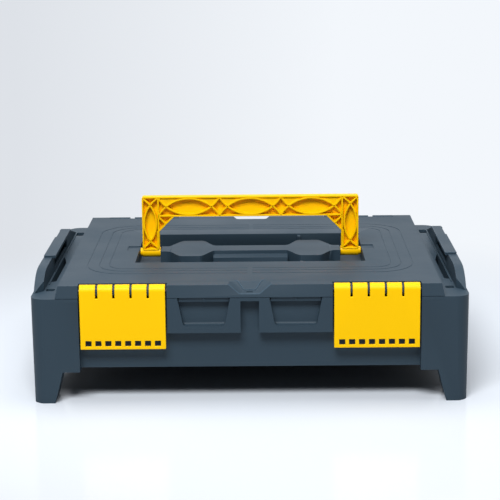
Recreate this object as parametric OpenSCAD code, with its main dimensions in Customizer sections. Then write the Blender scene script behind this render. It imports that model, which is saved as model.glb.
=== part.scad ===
// Slim stacking tool case: a base on four corner feet, a hinged lid between two side rails,
// two snap latches and a folding carry handle. Millimetres, +Z up, front is -Y,
// origin on the ground under the middle of the case.

/* [Case] */
// Overall width across the corner posts
case_w = 442; // [420:1:500]
// Overall depth, front to back
case_d = 357; // [330:1:400]
// Height of the top of the base above the ground
rim_z = 109; // [90:1:180]
// Height of the gap between base and lid
lid_gap = 0.5; // [0.3:0.1:1]
// Height of the lid's edge
lid_h = 12.5; // [12:0.5:16]
// Wall of the base
wall = 3; // [2:0.2:3.6]
// Wall of the lid
lid_wall = 2.6; // [2:0.2:3.2]

/* [Base] */
// How far the posts and panels stand in front of the tub
front_out = 10.5; // [8:0.5:14]
// How far the posts and rails stand outside the tub
side_out = 31; // [29:0.5:36]
// Thickness of the rim round the top of the base
rim_t = 3.3; // [2.4:0.1:5]
// Height of the underside of the floor
floor_z = 35; // [32:0.5:45]
// Depth of the ribs under the floor
floor_rib = 2.4; // [1:0.2:3]

/* [Corner posts] */
// Width of a post, seen from the front
post_w = 48.7; // [44:0.1:52]
// Depth of a post, seen from the side
post_d = 54; // [46:1:70]
// Radius of the upright outer corner
post_r = 15; // [10:1:20]
// Height of the foot under a post
foot_h = 32.6; // [20:0.2:34]
// Width of the foot where it stands
foot_w = 22.5; // [18:0.5:28]
// Depth of the foot where it stands
foot_d = 36; // [28:1:40]
// How much the foot's inner sides slope
foot_slope = 8.5; // [4:0.5:12]
// How much the outer faces lean in towards the ground
draft = 1.5; // [0.5:0.1:2.5]

/* [Side rails] */
// Distance from the post's outer face to the rail's inner face
rail_in = 10.5; // [9.5:0.1:12]
// Set-back of the rail's outer face
rail_back = 1.2; // [0.8:0.1:2]
// Height of the rail above the base
rail_h = 19; // [12:0.5:24]
// Distance from the middle of the case to the rail's front end
rail_front = 153; // [145:1:168]
// Distance from the middle of the case to the rail's rear end
rail_rear = 152; // [130:1:162]
// Length of the curve at the front of the rail
rail_curve = 50; // [40:1:60]
// Half length of the cap on the rail
cap_hl = 70; // [50:1:90]
// Height of the cap
cap_h = 3.4; // [2.5:0.1:5]
// How far the cap overhangs the inside of the rail
cap_over = 3.3; // [1:0.1:4]

/* [Front panels and pockets] */
// Half width of the gap between the two panels
panel_in = 9.3; // [6:0.1:14]
// Height of a panel below the rim
panel_h = 36; // [30:1:40]
// Height of a finger pocket
pocket_h = 29.2; // [20:0.2:30]
// Width of a pocket at the top
pocket_top = 53; // [46:1:56]
// Width of a pocket at the bottom
pocket_bottom = 41.3; // [34:0.1:44]
// Depth of a pocket
pocket_d = 8.5; // [6:0.5:9]

/* [Latches] */
// Width of a latch
latch_w = 86; // [70:0.5:88]
// Gap on each side of a latch
latch_gap = 1.6; // [0.8:0.1:2]
// Height of a latch below its pin
latch_h = 59; // [50:1:68]
// Thickness of a latch's plate
latch_t = 2.8; // [2:0.1:3.4]
// Outer radius of a latch's knuckles
latch_r = 6.5; // [5.5:0.1:6.8]
// Number of knuckles on a latch
latch_knuckles = 5; // [3:1:7]
// Width of the slots between the knuckles
slot_w = 2.4; // [1.8:0.1:3.2]
// Number of square holes along the lower edge
hole_count = 8; // [4:1:9]
// Width of a square hole
hole_w = 6.2; // [5:0.1:7]
// Height of a square hole
hole_h = 5.8; // [4:0.1:7]

/* [Hinges] */
// Gap between a hinge and the nearest post
hinge_side = 1.4; // [0.8:0.1:4]
// Width of one base knuckle
knuckle_w = 24; // [18:0.5:24.5]
// Width of one lid knuckle
lid_knuckle_w = 5; // [4:0.2:6]
// Outer radius of the hinge knuckles
hinge_r = 6; // [5:0.1:6.2]
// Radius of the hinge and latch pins
pin_r = 2; // [1.5:0.1:2.4]

/* [Carry handle] */
// Half width of the handle across its legs
handle_hw = 119; // [100:1:120]
// Height of the handle's top above its pivot
handle_h = 62.7; // [58:0.1:66]
// Height of the handle's bar
bar_h = 22.5; // [18:0.5:24]
// Width of a leg
leg_w = 18; // [15:0.5:20]
// Thickness of the handle, front to back
handle_t = 11; // [9:0.5:13]
// Thickness of the handle's ribs
rib_t = 1.6; // [1.4:0.1:2.4]
// Thickness of the web between the ribs
web_t = 1.6; // [1.2:0.2:3]
// How far the web lies behind the middle
web_back = 1.5; // [0:0.1:2]
// Number of lens shapes along the bar
lens_count = 3; // [2:1:4]
// Height of the gusset in each corner
gusset_h = 16.5; // [10:0.5:18]
// Length of a barrel at the foot of a leg
barrel_l = 20; // [18:0.2:21]
// Radius of a barrel
barrel_r = 5.5; // [5:0.1:6.5]
// Radius of the handle's pins
handle_pin_r = 2.2; // [1.8:0.1:2.4]

/* [Handle well] */
// Depth of the well below the lid's top
well_depth = 15.4; // [14:0.2:17]
// Half length of the well, front to back
well_hd = 72; // [70:0.5:80]
// Gap between the handle's barrels and the well
well_gap = 0.8; // [0.4:0.1:1.4]
// Half width of the bridge in the well
bridge_hw = 13; // [10:0.5:15]
// Half length of the bridge's two lobes
lobe_hl = 39.5; // [30:0.5:40]

/* [Hidden] */
$fn = 48;
eps = 0.01;
over = 1;

// Clearances
press = 0.02;
running = 0.08;
side_gap = 0.3;

// How far the latches and hinges stand proud of the posts
proud = 1;

// Outer planes of the case
hw = case_w / 2;
hd = case_d / 2;
tub_hw = hw - side_out;
tub_hd = hd - front_out;
floor_t = wall;
post_in = hw - post_w;

// Lid
lid_z = rim_z + lid_gap;
top_z = lid_z + lid_h;
lid_side = 25.7;
lid_lean = 2.9;
lid_front_lean = 2.5;
lid_rear_back = 2.5;
lid_hw = hw - lid_side;
tongue_gap = 0.6;
tongue_t = 2;
tongue_drop = 5;

// Hinge axis, with room for the lid's lower rear edge to turn
hinge_y = hd + proud - hinge_r;
hinge_z = top_z + 0.5 - hinge_r;
hinge_zone = 3 * knuckle_w + 2 * (lid_knuckle_w + 2 * side_gap);
hinge_x = post_in - hinge_side - hinge_zone / 2;
hinge_plate = 2.7;
hinge_back = hinge_r + 0.8;

// Latch place, axis and cut-out in the lid
latch_x = post_in - latch_gap - latch_w / 2;
latch_y = -(hd + proud - latch_r);
latch_z = lid_z + latch_r;
latch_face = latch_y - latch_r;
latch_cut_y = latch_y + latch_r + 1.1;
latch_cut_w = latch_w + 2 * latch_gap;
latch_pitch = latch_w / latch_knuckles;
latch_bottom = latch_z - latch_h;
panel_out = latch_x - latch_cut_w / 2;
hook_z = latch_bottom + 12;
hook_gap = 0.4;
catch_out = 3.2;

// Handle axis, well and bridge
pivot_z = top_z - 4.2;
barrel_out = handle_hw + 0.3;
barrel_in = barrel_out - barrel_l;
boss_out = barrel_out + 2.3;
boss_r = barrel_r - 1;
well_hw = boss_out + well_gap;
well_z = top_z - well_depth;
neck_in = barrel_in - 12.1;
bridge_end = barrel_in - 0.6;
bridge_top = top_z - 0.6;
neck_top = top_z - 1;
handle_top = pivot_z + handle_h;
bar_bottom = handle_top - bar_h;
leg_in = handle_hw - leg_w;
bearing_l = 13.4;

// Rail
rail_x = hw - rail_in;
rail_out_x = hw - rail_back;
rail_top = rim_z + rail_h;
rail_wall = 2.4;
cap_seat = rail_top - 1.2;
grip_lip = 13;

// Shared shapes

// A rounded rectangle centred on the origin
module rounded(w, d, r) {
    square([w - 2 * r, d], center = true);
    square([w, d - 2 * r], center = true);
    for (x = [-1, 1], y = [-1, 1])
        translate([x * (w / 2 - r), y * (d / 2 - r)])
            circle(r);
}

// A profile drawn in Y and Z, drawn out along X between two planes
module along_x(x0, x1) {
    translate([x0, 0, 0])
        rotate([90, 0, 90])
            linear_extrude(x1 - x0)
                children();
}

// A profile drawn in X and Z, drawn out along Y between two planes
module along_y(y0, y1) {
    translate([0, y1, 0])
        rotate([90, 0, 0])
            linear_extrude(y1 - y0)
                children();
}

// A block between two corners
module block(a, b) {
    translate(a)
        cube(b - a);
}

// A rod along X
module rod(x0, x1, y, z, r) {
    translate([x0, y, z])
        rotate([0, 90, 0])
            cylinder(h = x1 - x0, r = r);
}

// A child and its mirror image on the other side
module both_sides() {
    children();
    mirror([1, 0, 0])
        children();
}

// A child in all four corners
module four_corners() {
    both_sides() {
        children();
        mirror([0, 1, 0])
            children();
    }
}

// Base

// One corner post with its foot, shrunk by a wall for its hollow
module post(inset) {
    top = rim_z - (inset > 0 ? rim_t : 0);
    low = inset > 0 ? -over : 0;
    x_in = post_in + inset;
    y_in = hd - post_d + inset;
    foot_x = hw - foot_w + inset;
    foot_y = hd - foot_d + inset;
    intersection() {
        along_y(-hd, -y_in)
            polygon([
                [x_in, top], [hw - inset, top], [hw - draft - inset, low], [foot_x, low],
                [foot_x - foot_slope, foot_h], [x_in, foot_h]
            ]);
        along_x(x_in, hw)
            polygon([
                [-y_in, top], [-hd + inset, top], [-hd + draft / 2 + inset, low],
                [-foot_y, low], [-foot_y + foot_slope, foot_h], [-y_in, foot_h]
            ]);
        translate([0, 0, low])
            linear_extrude(top - low)
                rounded(case_w - 2 * inset, case_d - 2 * inset, post_r - inset);
    }
}

module hollow_post() {
    rib = 2;
    mid_x = hw - foot_w / 2;
    mid_y = -(hd - foot_d / 2);
    difference() {
        post(0);
        post(wall);
    }
    intersection() {
        post(0);
        union() {
            block([mid_x - rib / 2, -hd, over], [mid_x + rib / 2, -tub_hd + post_d, rim_z - eps]);
            block([tub_hw - wall, mid_y - rib / 2, over], [hw, mid_y + rib / 2, rim_z - eps]);
        }
    }
}

module tub() {
    tub_r = 9;
    translate([0, 0, floor_z])
        linear_extrude(rim_z - floor_z)
            rounded(2 * tub_hw, 2 * tub_hd, tub_r);
}

module cavity() {
    cavity_r = 6;
    translate([0, 0, floor_z + floor_t])
        linear_extrude(rim_z - floor_z)
            rounded(2 * (tub_hw - wall), 2 * (tub_hd - wall), cavity_r);
}

// Crossed ribs under the floor
module floor_ribs() {
    rib = 2;
    pitch = 60;
    nx = floor((tub_hw - post_r) / pitch);
    ny = floor((tub_hd - post_r) / pitch);
    for (i = [-nx:nx])
        block([i * pitch - rib / 2, -tub_hd + post_r, floor_z - floor_rib],
              [i * pitch + rib / 2, tub_hd - post_r, floor_z + eps]);
    for (j = [-ny:ny])
        block([-tub_hw + post_r, j * pitch - rib / 2, floor_z - floor_rib],
              [tub_hw - post_r, j * pitch + rib / 2, floor_z + eps]);
}

module rim() {
    translate([0, 0, rim_z - rim_t])
        linear_extrude(rim_t)
            rounded(case_w, case_d, post_r);
}

// The rail's side view: a curve up from the front post, a seat for the cap and a ramp at the rear
module rail_profile() {
    ramp_start = cap_hl + 7;
    front = [for (t = [0:0.1:1])
        [-rail_front + rail_curve * t, rim_z + rail_h * (1 - pow(1 - t, 3))]];
    polygon(concat(
        [[-rail_front, rim_z - over]], front,
        [[-cap_hl - side_gap, rail_top], [-cap_hl - side_gap, cap_seat],
         [cap_hl + side_gap, cap_seat], [cap_hl + side_gap, rail_top],
         [ramp_start, rail_top], [rail_rear, rim_z], [rail_rear, rim_z - over]]
    ));
}

// The hollow inside a rail, open at the bottom
module rail_core() {
    core_front = cap_hl + 52;
    core_rear = cap_hl + 14;
    along_x(rail_x + rail_wall, rail_out_x - rail_wall)
        polygon([
            [-core_front, rim_z - grip_lip - over],
            [-core_front, cap_seat - rail_wall],
            [cap_hl, cap_seat - rail_wall], [core_rear, rim_z + rail_h / 2],
            [core_rear, rim_z - grip_lip - over]
        ]);
}

cap_clip_y = [0.4 * cap_hl, 0.63 * cap_hl];
cap_clip_x = [rail_x + rail_wall + side_gap, rail_out_x - rail_wall - side_gap];

module rail() {
    window_hl = 0.79 * cap_hl;
    window_low = 3;
    window_high = 4.4;
    post_y = hd - post_d;
    clip_mid = (cap_clip_y[0] + cap_clip_y[1]) / 2;
    clip_half = (cap_clip_y[1] - cap_clip_y[0]) / 2 + side_gap;
    lip_gap = 1.4;
    lip_t = 1;
    lip_front = 116;
    lip_rear = 130;
    bevel = 11;
    difference() {
        union() {
            along_x(rail_x, rail_out_x)
                rail_profile();
            // A thin lip along the foot of the rail
            block([rail_x - lip_gap - lip_t, -lip_front, rim_z - eps],
                  [rail_x - lip_gap, lip_rear, rim_z + lip_t]);
            block([rail_out_x - rail_wall, -post_y - over, rim_z - grip_lip],
                  [rail_out_x, post_y + over, rim_z]);
        }
        rail_core();
        // The rail's front end, cut away on the inside
        translate([0, 0, rim_z])
            linear_extrude(rail_h + over)
                polygon([
                    [rail_x - 1, -rail_front - over], [rail_x - 1, -rail_front + bevel],
                    [rail_x, -rail_front + bevel], [rail_out_x, -rail_front - over]
                ]);
        block([rail_x - over, -window_hl, rim_z + window_low],
              [rail_x + rail_wall + eps, window_hl, cap_seat - window_high]);
        for (s = [-1, 1])
            block([rail_x + rail_wall, s * clip_mid - clip_half, cap_seat - 2 * rail_wall],
                  [rail_out_x - rail_wall, s * clip_mid + clip_half, cap_seat + over]);
    }
}

// A blind slot in the rim beside the rail, and a short slot over each post
slot_rear = 14;
slot_front = 102;
slot_out = rail_x - 2.4;
slot_in = slot_out - 5;
slot_z = rim_z - 11;
module rim_slots() {
    short_slots = [[-138.5, 10], [141, 18]];
    translate([0, 0, slot_z])
        linear_extrude(rim_z - slot_z + over)
            polygon([
                [slot_out, -slot_front], [slot_in + 2, -slot_front], [slot_in, -slot_front + 3],
                [slot_in, slot_rear - 26], [slot_out - 0.4, slot_rear], [slot_out, slot_rear]
            ]);
    translate([0, 0, rim_z - rim_t - over])
        linear_extrude(rim_t + 2 * over)
            for (slot = short_slots)
                translate([slot_out - 3.6, slot[0]])
                    rounded(8.8, slot[1], 2);
}

// Walls and floor of the blind slot under the rim
module slot_walls() {
    t = 2;
    block([slot_in - t, -slot_front - t, slot_z - t], [rail_x + rail_wall, slot_rear + t, rim_z - eps]);
}

// The side view of a catch, a sloped ledge that the latch's hook snaps under
module catch_profile() {
    y = -tub_hd;
    z = hook_z + 1;
    polygon([[y + eps, z], [y - catch_out, z], [y - catch_out, z + 2], [y + eps, z + 7]]);
}

module front_panel() {
    block([panel_in, -hd, rim_z - panel_h], [panel_out, -tub_hd + eps, rim_z]);
}

// A finger pocket's front view, with rounded lower corners
module pocket_outline() {
    r = 4;
    low = rim_z - pocket_h;
    lean = (pocket_top - pocket_bottom) / 2 / pocket_h;
    centre_x = pocket_bottom / 2 - r + r * lean;
    function corner(a) = [centre_x + r * cos(a), low + r + r * sin(a)];
    right = concat([for (a = [-90:15:-10]) corner(a)], [[pocket_top / 2 + over * lean, rim_z + over]]);
    polygon(concat(right, [for (i = [len(right) - 1:-1:0]) [-right[i][0], right[i][1]]]));
}

// The pocket's side view, with a small scoop at the bottom
module pocket_section() {
    r = 3;
    low = rim_z - pocket_h;
    back = -hd + pocket_d;
    polygon(concat(
        [[-hd - over, rim_z + over], [-hd - over, low]],
        [for (a = [-90:15:0]) [back - r + r * cos(a), low + r + r * sin(a)]],
        [[back, rim_z + over]]
    ));
}

module pocket() {
    pocket_x = (panel_in + panel_out) / 2;
    intersection() {
        translate([pocket_x, 0, 0])
            along_y(-hd - over, -hd + pocket_d + over)
                pocket_outline();
        along_x(panel_in, panel_out)
            pocket_section();
    }
}

module base_knuckles() {
    step = knuckle_w + lid_knuckle_w + 2 * side_gap;
    for (i = [-1:1]) {
        x0 = hinge_x + i * step - knuckle_w / 2;
        rod(x0, x0 + knuckle_w, hinge_y, hinge_z, hinge_r);
        block([x0, hinge_y - 2, rim_z - rim_t], [x0 + knuckle_w, hd, hinge_z]);
    }
}

// Upright ribs under the rear rim, carrying the hinges
module rear_gussets() {
    rib = 2.4;
    drop = 30;
    for (x = [panel_in, hinge_x - hinge_zone / 2, hinge_x, hinge_x + hinge_zone / 2 - rib])
        along_x(x, x + rib)
            polygon([
                [tub_hd - eps, rim_z - rim_t + eps], [hd, rim_z - rim_t + eps],
                [hd, rim_z - rim_t - 4], [tub_hd - eps, rim_z - rim_t - drop]
            ]);
}

module base_shell() {
    color("#3d4953")
        difference() {
            union() {
                four_corners() hollow_post();
                tub();
                floor_ribs();
                rim();
                both_sides() {
                    rail();
                    slot_walls();
                    front_panel();
                    base_knuckles();
                    rear_gussets();
                    along_x(latch_x - 32, latch_x + 32) catch_profile();
                }
            }
            cavity();
            both_sides() {
                block([panel_out, -hd - over, rim_z - rim_t - over], [post_in, -tub_hd, rim_z + over]);
                pocket();
                rim_slots();
                rail_core();
                rod(hinge_x - hinge_zone / 2 - over, hinge_x + hinge_zone / 2 + over,
                    hinge_y, hinge_z, pin_r + running);
            }
        }
}

// The cap that clips over a rail, with two tongues into its hollow
module rail_cap() {
    jog_y = 0.36 * cap_hl;
    jog = 1.4;
    tongue = 9;
    cap_out = rail_out_x - 0.3;
    color("#46525c") {
        difference() {
            block([rail_x - cap_over, -cap_hl, cap_seat], [cap_out, cap_hl, cap_seat + cap_h]);
            block([cap_out - jog, jog_y, cap_seat - over], [hw, cap_hl + over, cap_seat + cap_h + over]);
        }
        for (s = [-1, 1])
            block([cap_clip_x[0], min(s * cap_clip_y[0], s * cap_clip_y[1]), cap_seat - tongue],
                  [cap_clip_x[1], max(s * cap_clip_y[0], s * cap_clip_y[1]), cap_seat + eps]);
    }
}

// Lid

// The lid's outer form, shrunk by a wall for its hollow
module lid_block(inset, z0, z1) {
    lean_side = lid_lean / lid_h;
    lean_front = lid_front_lean / lid_h;
    rear = hd - lid_rear_back;
    function side_x(z) = lid_hw - inset - (z - lid_z) * lean_side;
    function front_y(z) = -hd + inset + (z - lid_z) * lean_front;
    intersection() {
        along_y(-hd - over, hd + over)
            polygon([[-side_x(z0), z0], [side_x(z0), z0], [side_x(z1), z1], [-side_x(z1), z1]]);
        along_x(-hw, hw)
            polygon([
                [front_y(z0), z0], [hinge_y - inset, z0], [rear - inset, max(z0, lid_z) + 1.1],
                [rear - inset, z1], [front_y(z1), z1]
            ]);
    }
}

function smooth(t) = t <= 0 ? 0 : t >= 1 ? 1 : t * t * (3 - 2 * t);

// Half width of the bridge across the well: a bar that swells into a lobe on each side
lobe_x = [0.392 * bridge_end, 0.558 * bridge_end, 0.751 * bridge_end, 0.933 * bridge_end];
function bridge_y(x, inset) =
    bridge_hw - inset + (lobe_hl - bridge_hw)
    * (smooth((x - lobe_x[0]) / (lobe_x[1] - lobe_x[0])) - smooth((x - lobe_x[2]) / (lobe_x[3] - lobe_x[2])));

module bridge_outline(end, inset) {
    steps = 8;
    rise = [for (i = [0:steps]) lobe_x[0] + (lobe_x[1] - lobe_x[0]) * i / steps];
    fall = [for (i = [0:steps]) lobe_x[2] + (lobe_x[3] - lobe_x[2]) * i / steps];
    xs = concat([for (x = concat(rise, fall)) if (x < end - eps) x], [end]);
    n = len(xs);
    quarter = [for (x = xs) [x, bridge_y(x, inset)]];
    polygon(concat(
        quarter,
        [for (i = [n - 1:-1:0]) [quarter[i][0], -quarter[i][1]]],
        [for (p = quarter) [-p[0], -p[1]]],
        [for (i = [n - 1:-1:0]) [-quarter[i][0], quarter[i][1]]]
    ));
}

module bridge() {
    foot_y = bridge_hw + 6;
    foot_hw = lobe_x[0] + 2;
    foot_top = top_z - 4.4;
    difference() {
        translate([0, 0, well_z - over])
            linear_extrude(bridge_top - well_z + over)
                bridge_outline(bridge_end, 0);
        both_sides()
            block([neck_in, -well_hd, neck_top], [well_hw, well_hd, top_z + over]);
    }
    along_x(-foot_hw, foot_hw)
        polygon([
            [-foot_y, well_z - over], [foot_y, well_z - over], [foot_y, foot_top - 3],
            [bridge_hw, foot_top], [-bridge_hw, foot_top], [-foot_y, foot_top - 3]
        ]);
}

module well_void() {
    nub_x = 55;
    difference() {
        block([-well_hw, -well_hd, well_z], [well_hw, well_hd, top_z + over]);
        bridge();
        // A nub at the front and rear that holds the folded handle
        for (y = [-1, 1])
            block([nub_x - 1.5, min(y * (handle_h + 0.6), y * well_hd), well_z],
                  [nub_x + 1.5, max(y * (handle_h + 0.6), y * well_hd), top_z - 1.5]);
    }
}

module bridge_core() {
    translate([0, 0, well_z - lid_wall - over])
        linear_extrude(bridge_top - well_z + over)
            bridge_outline(neck_in - lid_wall, lid_wall);
}

// Rounded lines raised from the mould round the well
module ring_grooves() {
    groove_w = 1.2;
    groove_d = 0.35;
    mark_gap = 5;
    ring_r = 42;
    for (inset = [0, 12.5, 23]) {
        w = 2 * (0.882 * lid_hw - inset);
        d = 2 * (0.697 * hd - inset);
        r = ring_r - inset;
        translate([0, 0, top_z - groove_d])
            linear_extrude(groove_d + over)
                difference() {
                    rounded(w, d, r);
                    rounded(w - 2 * groove_w, d - 2 * groove_w, r - groove_w);
                    square([mark_gap, case_d], center = true);
                }
    }
}

// The notch in the middle of the front and rear edges: a funnel with sloping sides and back
module edge_notch() {
    sheet = 0.1;
    raised = top_z + 0.5;
    low = lid_z + 2.9;
    hull() {
        along_y(-hd - over, -hd - over + sheet)
            polygon([[-22.4, raised], [22.4, raised], [9.8, low], [-9.8, low]]);
        along_y(-hd + 10.5, -hd + 10.5 + sheet)
            polygon([[-20.4, raised], [20.4, raised], [6, low + 1.9], [-6, low + 1.9]]);
        translate([0, 0, top_z])
            linear_extrude(raised - top_z)
                polygon([[-21, -hd + 16.5], [21, -hd + 16.5], [14.5, -hd + 18.5], [-14.5, -hd + 18.5]]);
    }
}

module notch_backing() {
    intersection() {
        lid_block(0, lid_z, top_z);
        union()
            for (s = [-1, 1])
                block([-26, min(s * (hd - 21), s * hd), lid_z], [26, max(s * (hd - 21), s * hd), top_z]);
    }
}

module tongue() {
    w = 2 * (tub_hw - wall - tongue_gap);
    d = 2 * (tub_hd - wall - tongue_gap);
    r = 5.4;
    translate([0, 0, rim_z - tongue_drop])
        linear_extrude(top_z - rim_z + tongue_drop - eps)
            difference() {
                rounded(w, d, r);
                rounded(w - 2 * tongue_t, d - 2 * tongue_t, r - tongue_t);
            }
}

// Tab on the lid's front edge, which a finger in the pocket lifts
module finger_tab() {
    x = (panel_in + panel_out) / 2;
    half = pocket_bottom / 2 + 4.4;
    y = -hd + 2.2;
    block([x - half, y, rim_z - 4], [x + half, y + 2.4, lid_z + 2]);
    block([x - 0.8, y - 0.7, rim_z - 4], [x + 0.8, y + eps, lid_z + 2]);
}

// The lid's ears, which carry a latch's pin in the slots between its knuckles
module latch_ears() {
    ear = slot_w - 0.6;
    for (i = [1:latch_knuckles - 1]) {
        x = latch_x - latch_w / 2 + i * latch_pitch;
        rod(x - ear / 2, x + ear / 2, latch_y, latch_z, latch_r - 0.8);
        block([x - ear / 2, latch_y, latch_z - 4], [x + ear / 2, latch_cut_y + over, latch_z + 4]);
    }
}

// Walls round a latch's cut-out
module latch_surround() {
    x0 = latch_x - latch_cut_w / 2;
    x1 = latch_x + latch_cut_w / 2;
    intersection() {
        lid_block(0, lid_z, top_z);
        difference() {
            block([x0 - wall, -hd, lid_z], [x1 + wall, latch_cut_y + lid_wall, top_z]);
            block([x0, -hd - over, lid_z - over], [x1, latch_cut_y, top_z + over]);
        }
    }
}

// Walls round a hinge, and the lid's knuckles between those of the base
module hinge_surround() {
    x0 = hinge_x - hinge_zone / 2 - side_gap;
    x1 = hinge_x + hinge_zone / 2 + side_gap;
    step = knuckle_w + lid_knuckle_w + 2 * side_gap;
    intersection() {
        lid_block(0, lid_z, top_z);
        difference() {
            block([x0 - hinge_plate, hinge_y - hinge_back - 5, lid_z], [x1 + hinge_plate, hd, top_z]);
            block([x0, hinge_y - hinge_back, lid_z - over], [x1, hd + over, top_z + over]);
        }
    }
    for (s = [-0.5, 0.5]) {
        x = hinge_x + s * step;
        half = lid_knuckle_w / 2;
        rod(x - half, x + half, hinge_y, hinge_z, hinge_r - 1.5);
        block([x - half, hinge_y - hinge_back - over, hinge_z - 4], [x + half, hinge_y, hinge_z + 3]);
    }
}

// Stiffening ribs under the lid's top
module lid_ribs() {
    rib = 2;
    low = lid_z + 4.5;
    high = top_z - lid_wall + eps;
    for (x = [-0.8, -0.32, 0, 0.32, 0.8] * lid_hw)
        block([x - rib / 2, -hd + 12, low], [x + rib / 2, hinge_y - 9, high]);
    for (y = [-0.63, 0.63] * hd)
        block([-lid_hw + 8, y - rib / 2, low], [lid_hw - 8, y + rib / 2, high]);
}

module lid_plate() {
    bearing_x = well_hw + bearing_l;
    difference() {
        union() {
            difference() {
                lid_block(0, lid_z, top_z);
                lid_block(lid_wall, lid_z - over, top_z - lid_wall);
            }
            block([-well_hw - lid_wall, -well_hd - lid_wall, well_z - lid_wall],
                  [well_hw + lid_wall, well_hd + lid_wall, top_z - eps]);
            tongue();
            notch_backing();
            lid_ribs();
            both_sides() {
                block([well_hw, -10, lid_z], [bearing_x, 10, top_z - eps]);
                finger_tab();
            }
        }
        well_void();
        bridge_core();
        ring_grooves();
        edge_notch();
        mirror([0, 1, 0]) edge_notch();
        block([-3, -hd + 5.6, lid_z - over], [3, -hd + 8, lid_z + 8]);
        both_sides() {
            // Shallow rectangles in the top over the outer bearings
            block([well_hw - eps, -10, top_z - 1], [bearing_x, 10, top_z + over]);
            block([latch_x - latch_cut_w / 2, -hd - over, lid_z - over],
                  [latch_x + latch_cut_w / 2, latch_cut_y, top_z + over]);
            block([hinge_x - hinge_zone / 2 - side_gap, hinge_y - hinge_back, lid_z - over],
                  [hinge_x + hinge_zone / 2 + side_gap, hd + over, top_z + over]);
        }
    }
}

module lid_shell() {
    pin_seat = 2;
    color("#4a5660")
        difference() {
            union() {
                lid_plate();
                both_sides() {
                    latch_surround();
                    latch_ears();
                    hinge_surround();
                }
            }
            both_sides() {
                rod(neck_in - lid_wall - over, well_hw + bearing_l - pin_seat + side_gap, 0, pivot_z,
                    handle_pin_r + press);
                rod(latch_x - latch_cut_w / 2 - pin_seat, latch_x + latch_cut_w / 2 + pin_seat,
                    latch_y, latch_z, pin_r + press);
                rod(hinge_x - hinge_zone / 2 - pin_seat, hinge_x + hinge_zone / 2 + pin_seat,
                    hinge_y, hinge_z, pin_r + press);
            }
        }
}

module hinge_pin() {
    color("silver")
        rod(hinge_x - hinge_zone / 2 - 1.8, hinge_x + hinge_zone / 2 + 1.8, hinge_y, hinge_z, pin_r);
}

module latch_pin() {
    color("silver")
        rod(latch_x - latch_cut_w / 2 - 1.8, latch_x + latch_cut_w / 2 + 1.8, latch_y, latch_z, pin_r);
}

// Latch

module latch() {
    x0 = latch_x - latch_w / 2;
    x1 = latch_x + latch_w / 2;
    inner = latch_face + latch_t;
    hole_edge = 4.9;
    hole_pitch = (latch_w - 2 * hole_edge - hole_w) / (hole_count - 1);
    side_rib = 2;
    color("#f5c400")
        difference() {
            union() {
                block([x0, latch_face, latch_bottom], [x1, inner, latch_z]);
                rod(x0, x1, latch_y, latch_z, latch_r);
                for (x = [x0, x1 - side_rib])
                    block([x, inner - eps, latch_bottom + 1.5], [x + side_rib, inner + 4, latch_z - 14]);
                along_x(latch_x - 30, latch_x + 30)
                    polygon([
                        [inner - eps, hook_z - 6], [inner + 1, hook_z - 6],
                        [-tub_hd - catch_out - hook_gap, hook_z - 2.4], [-tub_hd - catch_out - hook_gap, hook_z],
                        [inner - eps, hook_z]
                    ]);
            }
            for (i = [1:latch_knuckles - 1])
                block([x0 + i * latch_pitch - slot_w / 2, latch_face - over, latch_z - latch_r - 0.2],
                      [x0 + i * latch_pitch + slot_w / 2, latch_y + latch_r + over, latch_z + latch_r + over]);
            for (i = [0:hole_count - 1])
                translate([latch_x + (i - (hole_count - 1) / 2) * hole_pitch, latch_face, latch_bottom + 2.8 + hole_h / 2])
                    cube([hole_w, 4 * latch_t, hole_h], center = true);
            rod(x0 - over, x1 + over, latch_y, latch_z, pin_r + running);
        }
}

// Carry handle

// The handle's front view
module handle_outline(inset) {
    t = inset;
    top = handle_top - t;
    low = bar_bottom + t;
    out = handle_hw - t;
    in = leg_in + t;
    g = gusset_h;
    k = t * (sqrt(2) - 1);
    foot = pivot_z + (t > 0 ? barrel_r : 0);
    half = [
        [out, foot], [out, top], [0, top], [0, low],
        [leg_in - g - k, low], [in, bar_bottom - g - k], [in, foot]
    ];
    for (m = [0, 1])
        mirror([m, 0])
            polygon(half);
}

// Two crossing arcs in a cell, which leave a lens in the middle. Each starts and ends in a corner and
// stops short of the far side by a gap.
module crossing_arcs(cell, depth) {
    gap = 1.3;
    rise = 2 * depth - gap;
    radius = (cell * cell + rise * rise) / (2 * rise);
    intersection() {
        square([2 * cell, 2 * depth], center = true);
        for (s = [-1, 1])
            translate([0, s * (depth - gap - radius)])
                difference() {
                    circle(radius + rib_t / 2, $fn = 96);
                    circle(radius - rib_t / 2, $fn = 96);
                }
    }
}

module handle_ribs() {
    cell = leg_in / lens_count;
    bar_depth = (bar_h - rib_t) / 2;
    leg_depth = (leg_w - rib_t) / 2;
    leg_low = pivot_z + barrel_r;
    leg_cell = (handle_top - rib_t - leg_low) / 2;
    difference() {
        handle_outline(0);
        handle_outline(rib_t);
    }
    for (i = [-(lens_count - 1) / 2:(lens_count - 1) / 2])
        translate([2 * cell * i, bar_bottom + bar_h / 2])
            crossing_arcs(cell, bar_depth);
    for (s = [-1, 1]) {
        translate([s * (leg_in + leg_w / 2), leg_low + leg_cell])
            rotate(90)
                crossing_arcs(leg_cell, leg_depth);
        translate([s * leg_in - rib_t / 2, leg_low])
            square([rib_t, handle_top - leg_low]);
        translate([s * leg_in - (s > 0 ? gusset_h : 0), bar_bottom - eps])
            square([gusset_h, rib_t]);
        // Rib across the gusset, square to its sloping edge
        translate([s * leg_in, bar_bottom])
            rotate(-90 - s * 45)
                translate([0, -rib_t / 2])
                    square([gusset_h * 0.7, rib_t]);
    }
}

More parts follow.
